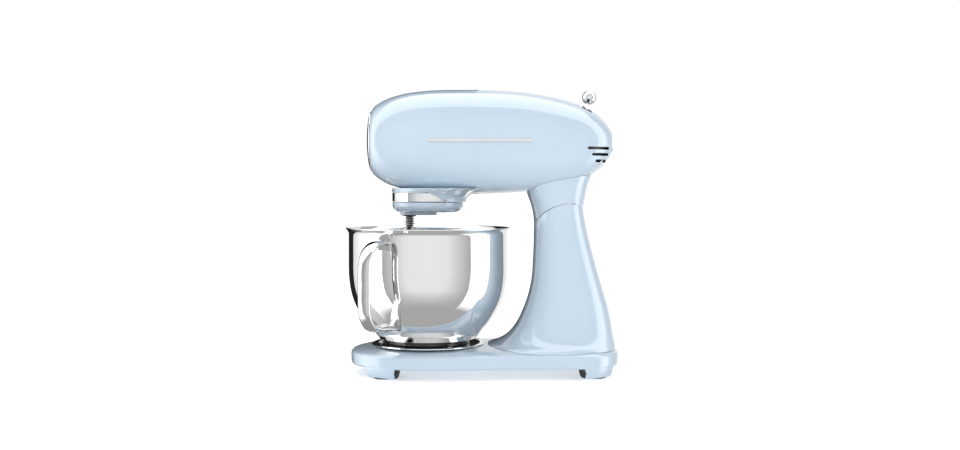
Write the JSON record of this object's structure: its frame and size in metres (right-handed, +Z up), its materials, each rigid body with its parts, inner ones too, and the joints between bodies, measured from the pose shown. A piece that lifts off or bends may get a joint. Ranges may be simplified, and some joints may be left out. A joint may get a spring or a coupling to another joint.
{
  "type": "stand mixer",
  "caption": "Tilt-head stand mixer with planetary drive, flat beater, twist-lock steel bowl with handle, speed lever, power hub and rear head release.",
  "frame": {"origin": "on the worktop under the middle of the whole mixer's box", "axes": "+X from the bowl toward the column at the back, -Y toward the bowl handle's side, +Z up"},
  "size_m": [0.3635, 0.2498, 0.3799],
  "materials": {
    "body": "die-cast aluminium under glossy pale blue enamel",
    "chrome": "bright chrome plate",
    "polished_steel": "mirror-polished stainless steel",
    "steel": "machined steel",
    "cast_aluminium": "burnished cast aluminium",
    "rubber": "matt moulded rubber",
    "black_plastic": "moulded black plastic",
    "bronze": "sintered bronze",
    "windings": "varnished copper windings on a laminated core",
    "circuit_board": "lacquered board with components"
  },
  "bodies": {
    "stand": {"base_casting": "body", "foot_front_near": "rubber", "foot_front_far": "rubber", "foot_rear_near": "rubber", "foot_rear_far": "rubber", "column_casting": "body", "column_bolt_1": "steel", "column_bolt_2": "steel", "column_bolt_3": "steel", "column_bolt_4": "steel", "hinge_pin": "steel", "latch_keeper": "steel", "cord_gland": "rubber", "bowl_plate": "chrome"},
    "head": {"neck_casting": "body", "hinge_bush": "bronze", "head_shell": "body", "lever_gate": "black_plastic", "planetary_ring": "chrome", "trim_strip_near": "chrome", "trim_strip_far": "chrome", "hub_sleeve": "steel", "hub_front_bearing": "steel", "hub_rear_bearing": "steel", "gearbox_frame": "cast_aluminium", "main_bearing": "steel", "ring_gear": "steel", "cluster_axle": "steel", "motor_can": "steel", "motor_end_bell": "cast_aluminium", "motor_front_bearing": "steel", "motor_rear_bearing": "steel", "stator": "steel", "control_board": "circuit_board", "speed_switch": "black_plastic", "latch_pivot": "steel"},
    "rotor": {"rotor": "windings", "motor_pinion": "steel", "cooling_fan": "black_plastic"},
    "cluster": {"cluster_gear": "steel"},
    "hub_drive": {"hub_shaft": "steel", "hub_gear": "steel", "bevel_pinion": "steel"},
    "planetary": {"planetary_carrier": "body", "spindle_bush": "bronze", "upright_shaft": "steel", "bevel_wheel": "steel"},
    "planet": {"planet_gear": "steel", "spindle": "polished_steel", "cross_pin": "steel", "spindle_spring": "steel"},
    "beater": {"flat_beater": "cast_aluminium"},
    "lever": {"speed_lever": "chrome", "lever_knob": "chrome"},
    "button": {"release_button": "chrome"},
    "latch": {"latch_lever": "steel"},
    "hub_cap": {"hub_cap": "chrome"},
    "bowl": {"bowl": "polished_steel", "bowl_foot": "polished_steel", "bowl_handle": "polished_steel"}
  },
  "joints": [
    {"name": "head_tilt", "type": "hinge", "parent": "stand", "child": "head", "pos_m": [0.116, 0.0152, 0.172], "axis": [0, 1, 0], "range_deg": [0, 45]},
    {"name": "bowl_twist", "type": "hinge", "parent": "stand", "child": "bowl", "pos_m": [-0.072, 0.0152, 0.045], "axis": [0, 0, 1], "range_deg": [0, 25]},
    {"name": "motor_spin", "type": "hinge", "parent": "head", "child": "rotor", "pos_m": [0.056, 0.0152, 0.284], "axis": [1, 0, 0], "continuous": true},
    {"name": "cluster_spin", "type": "hinge", "parent": "head", "child": "cluster", "pos_m": [-0.004, 0.03898, 0.29171], "axis": [1, 0, 0], "continuous": true},
    {"name": "hub_spin", "type": "hinge", "parent": "head", "child": "hub_drive", "pos_m": [-0.072, 0.0152, 0.31], "axis": [1, 0, 0], "continuous": true},
    {"name": "planetary_spin", "type": "hinge", "parent": "head", "child": "planetary", "pos_m": [-0.072, 0.0152, 0.222], "axis": [0, 0, 1], "continuous": true},
    {"name": "planet_spin", "type": "hinge", "parent": "planetary", "child": "planet", "pos_m": [-0.097, 0.0152, 0.222], "axis": [0, 0, 1], "continuous": true},
    {"name": "beater_push", "type": "slide", "parent": "planet", "child": "beater", "axis": [0, 0, 1], "range_m": [0, 0.005], "stiffness_N_per_m": 400, "springref_m": -0.008, "deforming": ["spindle_spring"]},
    {"name": "speed_lever_swing", "type": "hinge", "parent": "head", "child": "lever", "pos_m": [0.1202, 0.0152, 0.3022], "axis": [0.9336, 0, -0.3584], "range_deg": [0, 36]},
    {"name": "button_press", "type": "slide", "parent": "head", "child": "button", "axis": [-1, 0, 0], "range_m": [0, 0.005], "stiffness_N_per_m": 400, "springref_m": -0.005},
    {"name": "latch_turn", "type": "hinge", "parent": "head", "child": "latch", "pos_m": [0.108, 0.0332, 0.248], "axis": [0, -1, 0], "range_deg": [0, 5]},
    {"name": "hub_cap_pull", "type": "slide", "parent": "head", "child": "hub_cap", "axis": [-1, 0, 0], "range_m": [0, 0.03]}
  ],
  "couplings": [
    {"joint": "cluster_spin", "follows": "motor_spin", "ratio": -0.25},
    {"joint": "hub_spin", "follows": "motor_spin", "ratio": 0.083333},
    {"joint": "planetary_spin", "follows": "motor_spin", "ratio": 0.041667},
    {"joint": "planet_spin", "follows": "motor_spin", "ratio": -0.125},
    {"joint": "latch_turn", "follows": "button_press", "rad_per_m": 17.3}
  ]
}
